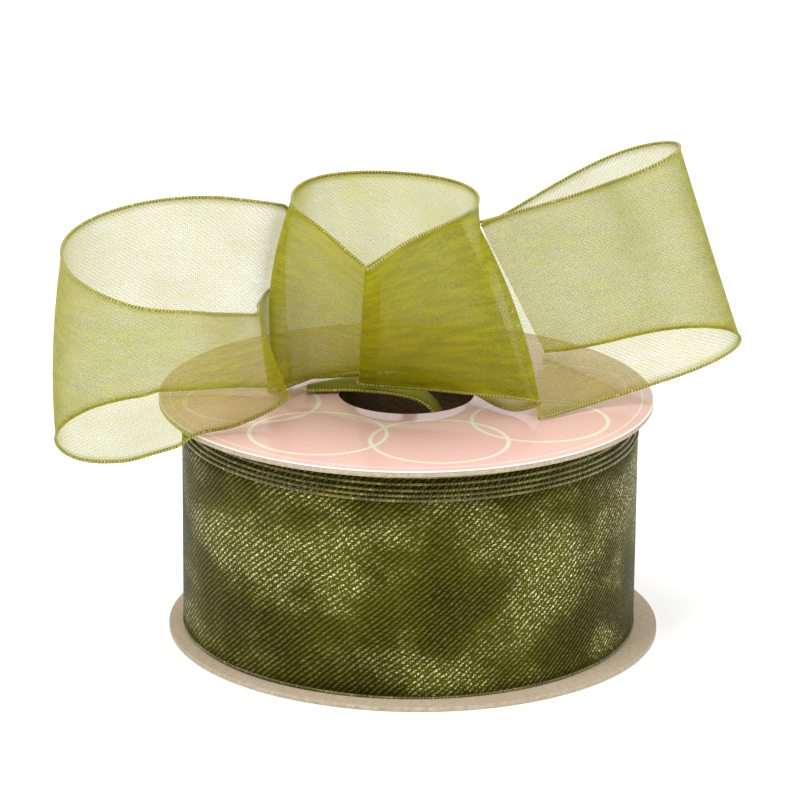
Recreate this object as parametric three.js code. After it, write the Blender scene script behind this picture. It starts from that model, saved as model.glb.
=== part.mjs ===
// Organza ribbon on a two-flange cardboard spool, with a three-loop bow of the same ribbon standing on the top flange.
// Millimetres, +Z up. The spool stands on its lower flange.
import * as THREE from 'three';

// ---- driving dimensions -------------------------------------------------
const FLANGE_RADIUS = 46.5;        // both cardboard discs, 93 mm across
const BOARD = 0.85;                // chipboard disc thickness
const PAPER = 0.25;                // printed paper on the outer face of each disc
const CORE_INNER = 12.75;          // core hole, 25.5 mm across
const CORE_OUTER = 14.25;          // core tube wall 1.5 mm
const FLANGE_GAP = 43.65;          // clear height between the two boards
const RIBBON_WIDTH = 38.5;         // 1.5 inch ribbon over its corded edges
const RIBBON = 0.25;               // thickness of one ribbon layer in these solids
const CORD = 0.5;                  // thickness of the corded edge
const CORD_CLEAR = 0.6;           // room between the web and its edge cord
const ROLL_RADIUS = 42.9;          // outermost turn
const TURN_PITCH = 0.34;           // radial step between the outer turns
const TURN = 0.29;                 // radial thickness of an outer turn
const TURN_LIFT = [0, 0.8, 1.7, 2.8, 4.0];   // how far each outer turn has climbed, outermost first
const LOWER_OFFSET = [0.86, -0.39];          // the lower flange sits a little off the winding's axis
const UPPER_OFFSET = [-0.81, 0.39];          // and the upper one a little the other way
const TAIL = 0.8;                  // folded tail, several layers
const ROUND = 72;                  // segments of the large discs
const ORIGIN = [-1.824, 0, 0];          // from the spool's axis to the middle of the outline

// ---- heights ------------------------------------------------------------
const Z_LOWER_BOARD = PAPER + 0.05;
const Z_GAP0 = Z_LOWER_BOARD + BOARD;
const Z_GAP1 = Z_GAP0 + FLANGE_GAP;
const Z_UPPER_PAPER = Z_GAP1 + BOARD + 0.05;
const Z_TURN0 = Z_GAP0 + 0.1;

// ---- the ribbon of the bow ---------------------------------------------
// Each strip is a row of cross lines. The three rows are its upper edge, its middle and its lower edge.
const STRIPS = {
  left_loop: [
    [[-22.77, 4.74, 79.5], [-23.42, 0.27, 82.3], [-24.97, -3.23, 83.64], [-27.34, -5.19, 84.52], [-30.02, -5.37, 84.88], [-32.46, -4.68, 84.96], [-34.8, -3.89, 84.97], [-37.23, -3.43, 84.93], [-39.69, -3.25, 84.85], [-42.18, -3.36, 84.74], [-44.66, -3.75, 84.61], [-47.11, -4.42, 84.44], [-49.5, -5.34, 84.24], [-51.78, -6.5, 83.99], [-53.92, -7.89, 83.72], [-55.92, -9.47, 83.42], [-57.75, -11.24, 83.1], [-59.37, -13.19, 82.74], [-60.75, -15.32, 82.35], [-61.85, -17.6, 81.92], [-62.64, -20, 81.46], [-63.07, -22.48, 80.97], [-63.14, -24.99, 80.45], [-62.86, -27.48, 79.91], [-62.25, -29.91, 79.35], [-61.33, -32.25, 78.79], [-60.14, -34.45, 78.23], [-58.67, -36.48, 77.67], [-56.96, -38.31, 77.11], [-55.01, -39.9, 76.6], [-52.82, -41.14, 76.08], [-50.47, -41.95, 75.45], [-48, -42.52, 75.01], [-45.47, -42.83, 74.73], [-42.91, -42.7, 74.51], [-40.47, -41.95, 74.23], [-38.38, -40.53, 73.73], [-36.73, -38.66, 73.05], [-35.37, -36.55, 72.32], [-34.15, -34.35, 71.64], [-32.95, -32.13, 70.94], [-31.74, -29.93, 70.26], [-30.47, -27.76, 69.6], [-29.15, -25.63, 68.93], [-28.28, -23.47, 68.45], [-27.93, -21.04, 68.16], [-27.93, -18.49, 67.93], [-28.08, -15.93, 67.65], [-28.2, -13.5, 67.2], [-28, -10.9, 66.9], [-27.7, -8.2, 66.7], [-27.4, -5.6, 66.6], [-27.1, -3.2, 66.5], [-26.7, -1.2, 66.4], [-25.9, 0.8, 66.3]],
    [[-23.69, 5.62, 65.64], [-26.18, 2.17, 65.73], [-27.88, -0.67, 65.86], [-29.75, -1.98, 65.91], [-31.76, -2.03, 65.9], [-33.76, -1.78, 65.86], [-35.71, -1.59, 65.81], [-37.6, -1.6, 65.74], [-39.52, -1.72, 65.65], [-41.54, -1.95, 65.57], [-43.69, -2.31, 65.5], [-46.03, -2.84, 65.42], [-48.46, -3.55, 65.32], [-50.81, -4.44, 64.88], [-53.08, -5.5, 64.63], [-55.27, -6.73, 64.38], [-57.35, -8.14, 64.1], [-59.29, -9.76, 63.8], [-61.04, -11.6, 63.46], [-62.55, -13.67, 63.08], [-63.79, -15.92, 62.67], [-64.7, -18.37, 62.21], [-65.18, -20.96, 61.71], [-65.11, -23.64, 61.15], [-64.44, -26.25, 60.55], [-63.16, -28.62, 59.95], [-61.37, -30.57, 59.39], [-59.25, -32.02, 58.93], [-56.96, -33, 58.59], [-54.6, -33.64, 58.37], [-52.19, -34.08, 58.27], [-49.79, -34.49, 58.37], [-47.37, -34.93, 58.63], [-44.93, -35.24, 58.97], [-42.47, -35.2, 59.33], [-40.09, -34.58, 59.99], [-37.92, -33.37, 60.06], [-36.02, -31.79, 59.72], [-34.3, -30.05, 59.36], [-32.61, -28.31, 59.2], [-30.92, -26.66, 59.17], [-29.23, -25.05, 59.21], [-27.57, -23.37, 59.31], [-25.97, -21.61, 59.45], [-25.25, -19.9, 59.36], [-25.42, -17.81, 59.1], [-26.08, -15.51, 58.73], [-26.83, -13.18, 58.31], [-27.25, -11, 57.9], [-27.5, -8.7, 57.7], [-27.6, -6.5, 57.6], [-27.5, -4.4, 57.6], [-27.25, -2.4, 57.6], [-26.75, -0.6, 57.6], [-25.85, 1, 57.6]],
    [[-22.28, 4.78, 46.75], [-24.24, 2.25, 46.75], [-26.01, 0.64, 46.8], [-28.06, 0.16, 46.85], [-30.26, 0.34, 46.84], [-32.38, 0.42, 46.78], [-34.42, 0.35, 46.69], [-36.38, 0.14, 46.6], [-38.36, -0.13, 46.5], [-40.41, -0.46, 46.41], [-42.59, -0.84, 46.4], [-44.95, -1.27, 46.4], [-47.39, -1.8, 46.4], [-49.81, -2.45, 45.75], [-52.19, -3.24, 45.54], [-54.5, -4.18, 45.31], [-56.73, -5.32, 45.06], [-58.81, -6.7, 44.79], [-60.67, -8.36, 44.48], [-62.28, -10.25, 44.13], [-63.63, -12.34, 43.74], [-64.65, -14.6, 43.31], [-65.25, -16.99, 42.85], [-65.25, -19.45, 42.33], [-64.58, -21.8, 41.79], [-63.2, -23.83, 41.27], [-61.23, -25.32, 40.84], [-58.89, -26.17, 40.57], [-56.4, -26.46, 40.47], [-53.88, -26.4, 40.53], [-51.39, -26.29, 40.77], [-49.01, -26.54, 41.53], [-46.7, -27, 42.42], [-44.39, -27.45, 43.3], [-42.05, -27.57, 44.2], [-39.73, -27.14, 45.78], [-37.48, -26.18, 46.4], [-35.33, -24.9, 46.4], [-33.22, -23.54, 46.4], [-31.09, -22.27, 46.76], [-28.9, -21.2, 47.39], [-26.72, -20.16, 48.15], [-24.66, -18.99, 49.02], [-22.78, -17.59, 49.97], [-22.21, -16.34, 50.27], [-22.9, -14.58, 50.04], [-24.23, -12.54, 49.52], [-25.57, -10.44, 48.96], [-26.3, -8.5, 48.6], [-26.4, -6.7, 48.5], [-26.3, -5.1, 48.5], [-26, -3.5, 48.5], [-25.7, -2, 48.5], [-25.3, -0.7, 48.5], [-24.6, 0.5, 48.5]]
  ],
  centre_loop: [
    [[-7.88, -26.52, 77.84], [-6.1, -25.49, 78.82], [-4.41, -24.36, 79.77], [-2.81, -23.12, 80.67], [-1.24, -21.81, 81.46], [0.36, -20.49, 82.09], [1.98, -19.18, 82.59], [3.56, -17.85, 83.01], [5.06, -16.49, 83.36], [6.44, -15.07, 83.65], [7.66, -13.58, 83.87], [8.7, -12.01, 83.99], [9.25, -10.86, 83.99], [9.67, -9.94, 83.98], [9.93, -9.26, 83.96], [10.12, -8.67, 83.92], [10.28, -8.09, 83.86], [10.43, -7.52, 83.79], [10.55, -6.94, 83.7], [10.65, -6.36, 83.59], [10.74, -5.79, 83.47], [10.82, -5.21, 83.33], [10.89, -4.61, 83.18], [10.96, -3.9, 83], [11.06, -2.92, 82.76], [11.19, -1.68, 82.46], [11.51, 0.19, 82.26], [11.92, 2.14, 82.33], [12.24, 4.13, 82.62], [12.24, 6.09, 83.03], [11.69, 7.98, 83.47], [10.54, 9.73, 83.88], [8.78, 11.32, 84.23], [6.49, 12.72, 84.52], [3.79, 13.9, 84.74], [0.81, 14.82, 84.88], [-2.28, 15.47, 84.95], [-5.31, 15.82, 84.98], [-8.13, 15.86, 84.98], [-10.7, 15.6, 84.96], [-12.98, 15.03, 84.94], [-14.96, 14.18, 84.91], [-16.65, 13.06, 84.88], [-18.07, 11.7, 84.87], [-19.23, 10.12, 84.86], [-20.17, 8.37, 84.87], [-20.9, 6.46, 84.87], [-21.46, 4.44, 84.88], [-21.85, 2.33, 84.88], [-22.08, 0.17, 84.88], [-22.16, -2.02, 84.87], [-22.12, -3.52, 84.86], [-22.07, -4.68, 84.84], [-22, -5.49, 84.81], [-21.93, -6.13, 84.77], [-21.84, -6.7, 84.72], [-21.72, -7.24, 84.65], [-21.59, -7.73, 84.57], [-21.44, -8.2, 84.48], [-21.26, -8.63, 84.38], [-21.06, -9.03, 84.27], [-20.83, -9.4, 84.14], [-20.57, -9.76, 84.01], [-20.29, -10.09, 83.87], [-19.99, -10.4, 83.71], [-19.66, -10.7, 83.54], [-19.3, -11, 83.35], [-18.91, -11.29, 83.14], [-18.42, -11.65, 82.85], [-17.7, -12.15, 82.43], [-16.78, -12.8, 81.87], [-15.28, -13.91, 80.91], [-13.62, -15.28, 79.84], [-11.83, -16.8, 78.66], [-9.89, -18.29, 77.32], [-7.8, -19.74, 75.85], [-5.58, -21.15, 74.26]],
    [[-8.53, -14.4, 62.9], [-5.8, -14.16, 63.27], [-3.18, -14.16, 63.68], [-0.68, -14.49, 64.19], [1.73, -14.96, 64.74], [4.1, -15.38, 65.27], [6.46, -15.59, 65.75], [8.71, -15.42, 66.11], [10.77, -15.03, 66.36], [12.66, -14.68, 66.58], [14.44, -14.42, 66.75], [16.12, -14.21, 66.91], [17.13, -14.02, 67.02], [17.9, -13.82, 67.11], [18.39, -13.6, 67.16], [18.7, -13.32, 67.16], [18.92, -12.98, 67.13], [19.03, -12.57, 67.05], [19.05, -12.11, 66.93], [18.98, -11.62, 66.76], [18.82, -11.1, 66.56], [18.59, -10.57, 66.33], [18.3, -10.01, 66.07], [17.91, -9.33, 65.75], [17.34, -8.42, 65.33], [16.6, -7.26, 64.8], [15.61, -5.71, 64.39], [14.79, -4.08, 64.37], [14.04, -2.12, 64.51], [13.23, 0.07, 64.77], [12.14, 2.36, 65.06], [10.7, 4.65, 65.31], [8.87, 6.83, 65.51], [6.69, 8.83, 65.67], [4.22, 10.56, 65.78], [1.54, 11.97, 65.85], [-1.23, 13.02, 65.88], [-3.98, 13.7, 65.89], [-6.62, 13.98, 65.88], [-9.09, 13.89, 65.85], [-11.36, 13.44, 65.82], [-13.42, 12.67, 65.78], [-15.27, 11.73, 65.74], [-16.94, 10.72, 65.7], [-18.48, 9.53, 65.67], [-19.93, 8.07, 65.65], [-21.31, 6.43, 65.64], [-22.63, 4.78, 65.64], [-23.88, 3.16, 65.67], [-25, 1.51, 65.73], [-25.87, -0.39, 65.8], [-26.15, -1.87, 65.9], [-26.32, -3.01, 65.97], [-26.37, -3.81, 66.05], [-26.34, -4.44, 66.15], [-26.24, -5.04, 66.28], [-26.06, -5.63, 66.4], [-25.76, -6.22, 66.44], [-25.34, -6.8, 66.39], [-24.8, -7.33, 66.26], [-24.21, -7.71, 66.09], [-23.61, -7.9, 65.94], [-23.05, -7.92, 65.8], [-22.55, -7.83, 65.69], [-22.13, -7.68, 65.59], [-21.79, -7.5, 65.51], [-21.46, -7.31, 65.44], [-21.11, -7.12, 65.36], [-20.64, -6.94, 65.25], [-19.95, -6.73, 65.09], [-19.03, -6.49, 64.88], [-17.37, -6.49, 64.48], [-15.45, -6.86, 64], [-13.32, -7.33, 63.44], [-11.02, -7.67, 62.79], [-8.56, -7.97, 62.06], [-5.95, -8.34, 61.28]],
    [[-9.24, -2.03, 48.16], [-5.6, -2.35, 48.06], [-2.04, -3.2, 48.09], [1.41, -4.77, 48.32], [4.75, -6.74, 48.66], [7.93, -8.77, 49.01], [10.93, -10.54, 49.28], [13.73, -11.74, 49.4], [16.28, -12.58, 49.44], [18.52, -13.46, 49.49], [20.4, -14.39, 49.56], [21.89, -15.34, 49.62], [22.6, -15.98, 49.67], [23.12, -16.47, 49.71], [23.42, -16.8, 49.74], [23.6, -17, 49.74], [23.73, -17.12, 49.7], [23.79, -17.15, 49.63], [23.8, -17.07, 49.52], [23.75, -16.88, 49.35], [23.64, -16.58, 49.14], [23.45, -16.21, 48.89], [23.17, -15.76, 48.59], [22.73, -15.16, 48.22], [21.99, -14.3, 47.69], [20.99, -13.18, 47.03], [19.21, -11.8, 46.48], [17.42, -10.39, 46.4], [15.76, -8.41, 46.4], [14.18, -5.97, 46.52], [12.58, -3.26, 46.65], [10.86, -0.43, 46.74], [8.96, 2.34, 46.79], [6.89, 4.93, 46.82], [4.65, 7.21, 46.83], [2.28, 9.11, 46.83], [-0.18, 10.58, 46.82], [-2.66, 11.57, 46.8], [-5.1, 12.1, 46.78], [-7.47, 12.17, 46.75], [-9.72, 11.81, 46.71], [-11.84, 11.08, 46.66], [-13.8, 10.26, 46.61], [-15.6, 9.46, 46.57], [-17.23, 8.48, 46.53], [-18.71, 7.11, 46.49], [-20.03, 5.49, 46.46], [-21.21, 3.96, 46.44], [-22.25, 2.6, 46.41], [-23.13, 1.49, 46.4], [-23.81, 0.29, 46.42], [-24.12, -0.83, 46.57], [-24.38, -1.72, 46.7], [-24.55, -2.35, 46.81], [-24.66, -2.85, 46.94], [-24.72, -3.28, 47.1], [-24.71, -3.65, 47.29], [-24.63, -3.96, 47.49], [-24.47, -4.2, 47.67], [-24.25, -4.35, 47.84], [-24, -4.39, 47.98], [-23.73, -4.31, 48.11], [-23.47, -4.13, 48.2], [-23.24, -3.86, 48.27], [-23.04, -3.54, 48.3], [-22.86, -3.18, 48.31], [-22.69, -2.81, 48.3], [-22.5, -2.43, 48.3], [-22.21, -1.96, 48.3], [-21.7, -1.28, 48.3], [-21, -0.4, 48.3], [-19.26, 1.53, 48.3], [-17.15, 1.87, 48.3], [-14.76, 2.28, 48.3], [-12.13, 3.01, 48.3], [-9.31, 3.82, 48.3], [-6.32, 4.48, 48.3]]
  ],
  right_loop: [
    [[12.82, 6.9, 77.01], [14.93, 7.12, 78.03], [17, 7.46, 79.09], [19.04, 7.92, 80.18], [21.05, 8.48, 81.28], [23.04, 9.09, 82.38], [25.04, 9.72, 83.46], [27.04, 10.34, 84.52], [29.07, 10.94, 85.56], [31.11, 11.51, 86.59], [33.18, 12.03, 87.58], [35.29, 12.43, 88.53], [37.45, 12.67, 89.44], [39.64, 12.67, 90.31], [41.82, 12.34, 91.11], [43.94, 11.62, 91.84], [45.89, 10.48, 92.49], [47.54, 8.9, 93.03], [48.75, 6.92, 93.44], [49.38, 4.67, 93.66], [49.33, 2.32, 93.67], [48.57, 0.1, 93.44], [47.22, -1.77, 92.96], [45.43, -3.13, 92.27], [43.36, -3.82, 91.39], [41.23, -3.7, 90.39], [39.34, -2.75, 89.37], [37.88, -1.18, 88.4], [36.78, 0.68, 87.48], [35.74, 2.58, 86.53], [34.42, 4.24, 85.52], [32.65, 5.41, 84.51], [30.54, 5.9, 83.61], [28.3, 5.69, 82.91], [26.12, 4.93, 82.43], [24.08, 3.79, 82.12], [22.16, 2.44, 81.91], [20.3, 1.01, 81.76], [18.5, -0.41, 81.61], [16.7, -1.82, 81.46], [14.88, -3.23, 81.31], [13.03, -4.64, 81.16]],
    [[19.36, 16.51, 61.7], [21.51, 16.24, 62.41], [23.65, 16.06, 63.2], [25.78, 15.98, 64.04], [27.88, 15.97, 64.91], [29.98, 16, 65.8], [32.08, 16.05, 66.7], [34.18, 16.1, 67.6], [36.29, 16.11, 68.48], [38.38, 16.06, 69.35], [40.48, 15.89, 70.18], [42.55, 15.58, 70.98], [44.6, 15.09, 71.73], [46.62, 14.39, 72.44], [48.56, 13.44, 73.1], [50.39, 12.21, 73.71], [52.05, 10.69, 74.25], [53.47, 8.89, 74.72], [54.57, 6.84, 75.09], [55.25, 4.59, 75.33], [55.45, 2.25, 75.42], [55.14, -0.04, 75.34], [54.32, -2.15, 75.07], [53.02, -3.93, 74.59], [51.28, -5.2, 73.89], [49.3, -5.78, 73.03], [47.31, -5.63, 72.07], [45.49, -4.9, 71.1], [43.88, -3.8, 70.14], [42.32, -2.56, 69.18], [40.63, -1.38, 68.19], [38.69, -0.51, 67.21], [36.54, -0.11, 66.32], [34.29, -0.25, 65.6], [32.08, -0.87, 65.06], [29.98, -1.88, 64.68], [28, -3.14, 64.43], [26.1, -4.54, 64.25], [24.46, -5.96, 64.11], [22.84, -7.4, 63.97], [21.16, -8.82, 63.86], [19.38, -10.22, 63.78]],
    [[25.9, 26.12, 46.4], [28.1, 25.36, 46.78], [30.3, 24.67, 47.31], [32.51, 24.04, 47.9], [34.72, 23.45, 48.54], [36.93, 22.9, 49.22], [39.13, 22.38, 49.93], [41.32, 21.86, 50.67], [43.5, 21.29, 51.4], [45.66, 20.6, 52.11], [47.77, 19.75, 52.79], [49.81, 18.72, 53.42], [51.76, 17.5, 54.02], [53.59, 16.11, 54.58], [55.29, 14.53, 55.1], [56.84, 12.79, 55.58], [58.21, 10.91, 56.02], [59.4, 8.89, 56.41], [60.38, 6.75, 56.74], [61.12, 4.51, 56.99], [61.58, 2.19, 57.17], [61.71, -0.18, 57.24], [61.42, -2.53, 57.18], [60.61, -4.73, 56.91], [59.21, -6.57, 56.4], [57.36, -7.86, 55.67], [55.27, -8.52, 54.78], [53.1, -8.62, 53.81], [50.98, -8.29, 52.81], [48.9, -7.69, 51.82], [46.84, -7.01, 50.85], [44.74, -6.43, 49.91], [42.54, -6.12, 49.04], [40.28, -6.18, 48.29], [38.04, -6.68, 47.69], [35.87, -7.55, 47.25], [33.83, -8.72, 46.95], [31.9, -10.08, 46.75], [30.03, -11.54, 46.6], [28.19, -13.03, 46.48], [26.34, -14.5, 46.4], [24.43, -15.9, 46.4]]
  ],
  bow_tail: [
    [[-19.5, 1.6, 46.8], [-17.5, 3.4, 46.75], [-15, 5.3, 46.7], [-12.5, 6.7, 46.7], [-10, 7.3, 46.7], [-7, 6.8, 46.7], [-4, 6, 46.65], [-1.5, 5.4, 46.4], [0.8, 5, 45.9], [2.9, 4.6, 44.9], [4.6, 4.3, 43.3], [5.9, 4.1, 41.2], [6.7, 4.1, 38.8], [7.1, 4.1, 36.2], [7.3, 4.2, 33.4], [7.4, 4.3, 30.6], [7.4, 4.4, 27.8], [7.4, 4.4, 25]],
    [[-19.5, 0, 46.8], [-17.5, 1.1, 46.75], [-15, 2.2, 46.7], [-12.5, 3, 46.7], [-10, 3.2, 46.7], [-7, 2.6, 46.7], [-4, 1.8, 46.65], [-1.5, 1.2, 46.4], [0.8, 0.8, 45.9], [2.9, 0.4, 44.9], [4.6, 0.1, 43.3], [5.9, -0.1, 41.2], [6.7, -0.1, 38.8], [7.1, -0.1, 36.2], [7.3, 0, 33.4], [7.4, 0.1, 30.6], [7.4, 0.2, 27.8], [7.4, 0.2, 25]],
    [[-19.5, -1.6, 46.8], [-17.5, -1.2, 46.75], [-15, -0.9, 46.7], [-12.5, -0.7, 46.7], [-10, -0.9, 46.7], [-7, -1.6, 46.7], [-4, -2.4, 46.65], [-1.5, -3, 46.4], [0.8, -3.4, 45.9], [2.9, -3.8, 44.9], [4.6, -4.1, 43.3], [5.9, -4.3, 41.2], [6.7, -4.3, 38.8], [7.1, -4.3, 36.2], [7.3, -4.2, 33.4], [7.4, -4.1, 30.6], [7.4, -4, 27.8], [7.4, -4, 25]]
  ]
};

// ---- helpers ------------------------------------------------------------
function material(color, roughness, metalness = 0) {
  return new THREE.MeshStandardMaterial({ color, roughness, metalness, side: THREE.DoubleSide });
}

const group = new THREE.Group();

function add(name, geometry, mat, x = 0, y = 0, z = 0) {
  const mesh = new THREE.Mesh(geometry, mat);
  mesh.name = name;
  mesh.position.set(x - ORIGIN[0], y - ORIGIN[1], z - ORIGIN[2]);
  group.add(mesh);
  return mesh;
}

// a ring of rectangular section about the Z axis
function ring(inner, outer, z0, z1, segments = ROUND) {
  const profile = [
    new THREE.Vector2(inner, z0),
    new THREE.Vector2(outer, z0),
    new THREE.Vector2(outer, z1),
    new THREE.Vector2(inner, z1),
    new THREE.Vector2(inner, z0),
  ];
  const g = new THREE.LatheGeometry(profile, segments);
  g.rotateX(Math.PI / 2);
  return g;
}

const V = (p) => new THREE.Vector3(p[0], p[1], p[2]);

// a point of the strip: k is the cross line, f runs from 0 at the upper edge to 1 at the lower edge
function stripPoint(rows, k, f) {
  const a = 2 * (f - 0.5) * (f - 1), b = 4 * f * (1 - f), c = 2 * f * (f - 0.5);
  return V(rows[0][k]).multiplyScalar(a).add(V(rows[1][k]).multiplyScalar(b)).add(V(rows[2][k]).multiplyScalar(c));
}

function along(rows, k, f) {
  const n = rows[0].length;
  return stripPoint(rows, Math.min(k + 1, n - 1), f).sub(stripPoint(rows, Math.max(k - 1, 0), f)).normalize();
}

function across(rows, k, f) {
  const d = 0.06;
  return stripPoint(rows, k, Math.min(f + d, 1)).sub(stripPoint(rows, k, Math.max(f - d, 0))).normalize();
}

// a closed tube of cross sections; each section is a loop of points in the same order
function skin(sections, other = []) {
  const m = sections[0].length, pos = [], idx = [];
  for (const s of sections) for (const p of s) pos.push(p.x, p.y, p.z);
  const last = (sections.length - 1) * m;
  for (let i = 0; i + 1 < sections.length; i++) {
    for (let j = 0; j < m; j++) {
      const a = i * m + j, b = i * m + (j + 1) % m, c = a + m, d = b + m;
      // the two faces of a sheet share their diagonals, so that a warped sheet keeps its thickness
      if (other.includes(j)) idx.push(a, b, c, b, d, c); else idx.push(a, b, d, a, d, c);
    }
  }
  return { pos, idx, m, last };
}

function finish(pos, idx) {
  // faces point outwards: the signed volume is positive
  let v = 0;
  for (let i = 0; i < idx.length; i += 3) {
    const [a, b, c] = [idx[i], idx[i + 1], idx[i + 2]].map((q) => new THREE.Vector3(pos[3 * q], pos[3 * q + 1], pos[3 * q + 2]));
    v += a.dot(b.cross(c));
  }
  if (v < 0) for (let i = 0; i < idx.length; i += 3) { const t = idx[i + 1]; idx[i + 1] = idx[i + 2]; idx[i + 2] = t; }
  const g = new THREE.BufferGeometry();
  g.setAttribute('position', new THREE.Float32BufferAttribute(pos, 3));
  g.setIndex(idx);
  g.computeVertexNormals();
  return g;
}

// the woven web between the two edge cords: a thin sheet with a middle row, closed all round
function web(rows, thickness, inset) {
  const n = rows[0].length, sections = [];
  for (let k = 0; k < n; k++) {
    const width = stripPoint(rows, k, 0).distanceTo(stripPoint(rows, k, 1));
    const e = Math.min(inset / width, 0.3);
    const top = [], under = [];
    for (const f of [e, 0.5, 1 - e]) {
      const p = stripPoint(rows, k, f);
      const nrm = new THREE.Vector3().crossVectors(along(rows, k, f), across(rows, k, f)).normalize();
      top.push(p.clone().addScaledVector(nrm, thickness / 2));
      under.push(p.clone().addScaledVector(nrm, -thickness / 2));
    }
    sections.push([top[0], top[1], top[2], under[2], under[1], under[0]]);
  }
  const { pos, idx, m, last } = skin(sections, [3, 4]);
  // end caps, two quads each
  idx.push(0, 4, 1, 0, 5, 4, 1, 3, 2, 1, 4, 3);
  idx.push(last, last + 1, last + 4, last, last + 4, last + 5, last + 1, last + 2, last + 3, last + 1, last + 3, last + 4);
  return finish(pos, idx);
}

// the corded edge: a square-section cord along the upper (f = 0) or the lower (f = 1) edge
function edgeCord(rows, f, size) {
  const n = rows[0].length, sections = [], h = size / 2;
  for (let k = 0; k < n; k++) {
    const c = across(rows, k, f).multiplyScalar(f === 0 ? 1 : -1);
    const t = along(rows, k, f);
    const nrm = new THREE.Vector3().crossVectors(t, c).normalize();
    const w = new THREE.Vector3().crossVectors(nrm, t).normalize();
    if (w.dot(c) < 0) w.negate();
    const p = stripPoint(rows, k, f).addScaledVector(w, h);
    sections.push([
      p.clone().addScaledVector(w, -h), p.clone().addScaledVector(nrm, h),
      p.clone().addScaledVector(w, h), p.clone().addScaledVector(nrm, -h),
    ]);
  }
  const { pos, idx, last } = skin(sections);
  idx.push(0, 2, 1, 0, 3, 2, last, last + 1, last + 2, last, last + 2, last + 3);
  return finish(pos, idx);
}

// ---- the spool ----------------------------------------------------------
const kraft = () => material(0xb39b78, 0.92);
const pink = () => material(0xf2c3c4, 0.35);
const olive = () => material(0x5c611a, 0.45, 0.15);
const sheer = () => material(0xb9bd5e, 0.4, 0.1);
const edge = () => material(0x84882c, 0.4, 0.15);

add('lower_flange_label', ring(CORE_INNER, FLANGE_RADIUS, 0, PAPER), pink(), LOWER_OFFSET[0], LOWER_OFFSET[1]);
add('lower_flange_board', ring(CORE_INNER, FLANGE_RADIUS, Z_LOWER_BOARD, Z_LOWER_BOARD + BOARD), kraft(), LOWER_OFFSET[0], LOWER_OFFSET[1]);
add('core_tube', ring(CORE_INNER + 0.2, CORE_OUTER, Z_GAP0 + 0.05, Z_GAP1 - 0.05, 48), kraft(), 0, 0);
add('upper_flange_board', ring(CORE_INNER, FLANGE_RADIUS, Z_GAP1, Z_GAP1 + BOARD), kraft(), UPPER_OFFSET[0], UPPER_OFFSET[1]);
add('upper_flange_label', ring(CORE_INNER, FLANGE_RADIUS, Z_UPPER_PAPER, Z_UPPER_PAPER + PAPER), pink(), UPPER_OFFSET[0], UPPER_OFFSET[1]);

// ---- the winding: the inner turns as one body, then the loose outer turns, each a little lower than the one inside it
const turns = TURN_LIFT.length;
const bulkRadius = ROLL_RADIUS - turns * TURN_PITCH;
add('wound_ribbon', ring(CORE_OUTER + 0.05, bulkRadius, Z_TURN0 + 4.4, Z_TURN0 + 4.4 + RIBBON_WIDTH), olive());
for (let i = turns - 1; i >= 0; i--) {
  const outer = ROLL_RADIUS - i * TURN_PITCH;
  const z0 = Z_TURN0 + TURN_LIFT[i];
  add(`outer_turn_${turns - i}`, ring(outer - TURN, outer, z0, z0 + RIBBON_WIDTH), olive());
}

// ---- the bow ------------------------------------------------------------
for (const name of ['left_loop', 'centre_loop', 'right_loop']) {
  add(name, web(STRIPS[name], RIBBON, CORD + CORD_CLEAR), sheer());
  add(`${name}_upper_edge`, edgeCord(STRIPS[name], 0, CORD), edge());
  add(`${name}_lower_edge`, edgeCord(STRIPS[name], 1, CORD), edge());
}
add('bow_tail', web(STRIPS.bow_tail, TAIL, CORD + CORD_CLEAR), olive());
add('bow_tail_front_edge', edgeCord(STRIPS.bow_tail, 1, CORD), edge());

export default group;
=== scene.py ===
# Organza ribbon on a two-flange cardboard spool, with a looped bow of the same ribbon on the top flange.
import math
import bpy
import bmesh
from mathutils import Vector, Matrix


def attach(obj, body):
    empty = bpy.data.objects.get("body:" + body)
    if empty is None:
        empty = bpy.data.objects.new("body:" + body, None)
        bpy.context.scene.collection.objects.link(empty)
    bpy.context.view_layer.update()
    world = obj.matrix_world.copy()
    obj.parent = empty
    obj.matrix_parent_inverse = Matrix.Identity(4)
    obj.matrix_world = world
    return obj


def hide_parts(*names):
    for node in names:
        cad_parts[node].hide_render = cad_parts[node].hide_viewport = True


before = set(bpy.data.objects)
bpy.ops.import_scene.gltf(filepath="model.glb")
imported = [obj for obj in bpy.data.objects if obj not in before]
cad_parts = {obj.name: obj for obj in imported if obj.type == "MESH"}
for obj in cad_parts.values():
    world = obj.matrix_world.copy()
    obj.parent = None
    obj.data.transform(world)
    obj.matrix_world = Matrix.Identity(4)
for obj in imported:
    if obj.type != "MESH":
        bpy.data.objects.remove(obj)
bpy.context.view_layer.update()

MM = 0.001
OX, OY = -1.824, 0.0            # the outline's middle, from the spool's axis, mm


def q(x, y, z):
    """A point given about the spool's axis in mm, in the frame's metres."""
    return Vector(((x - OX) * MM, (y - OY) * MM, z * MM))


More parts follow.
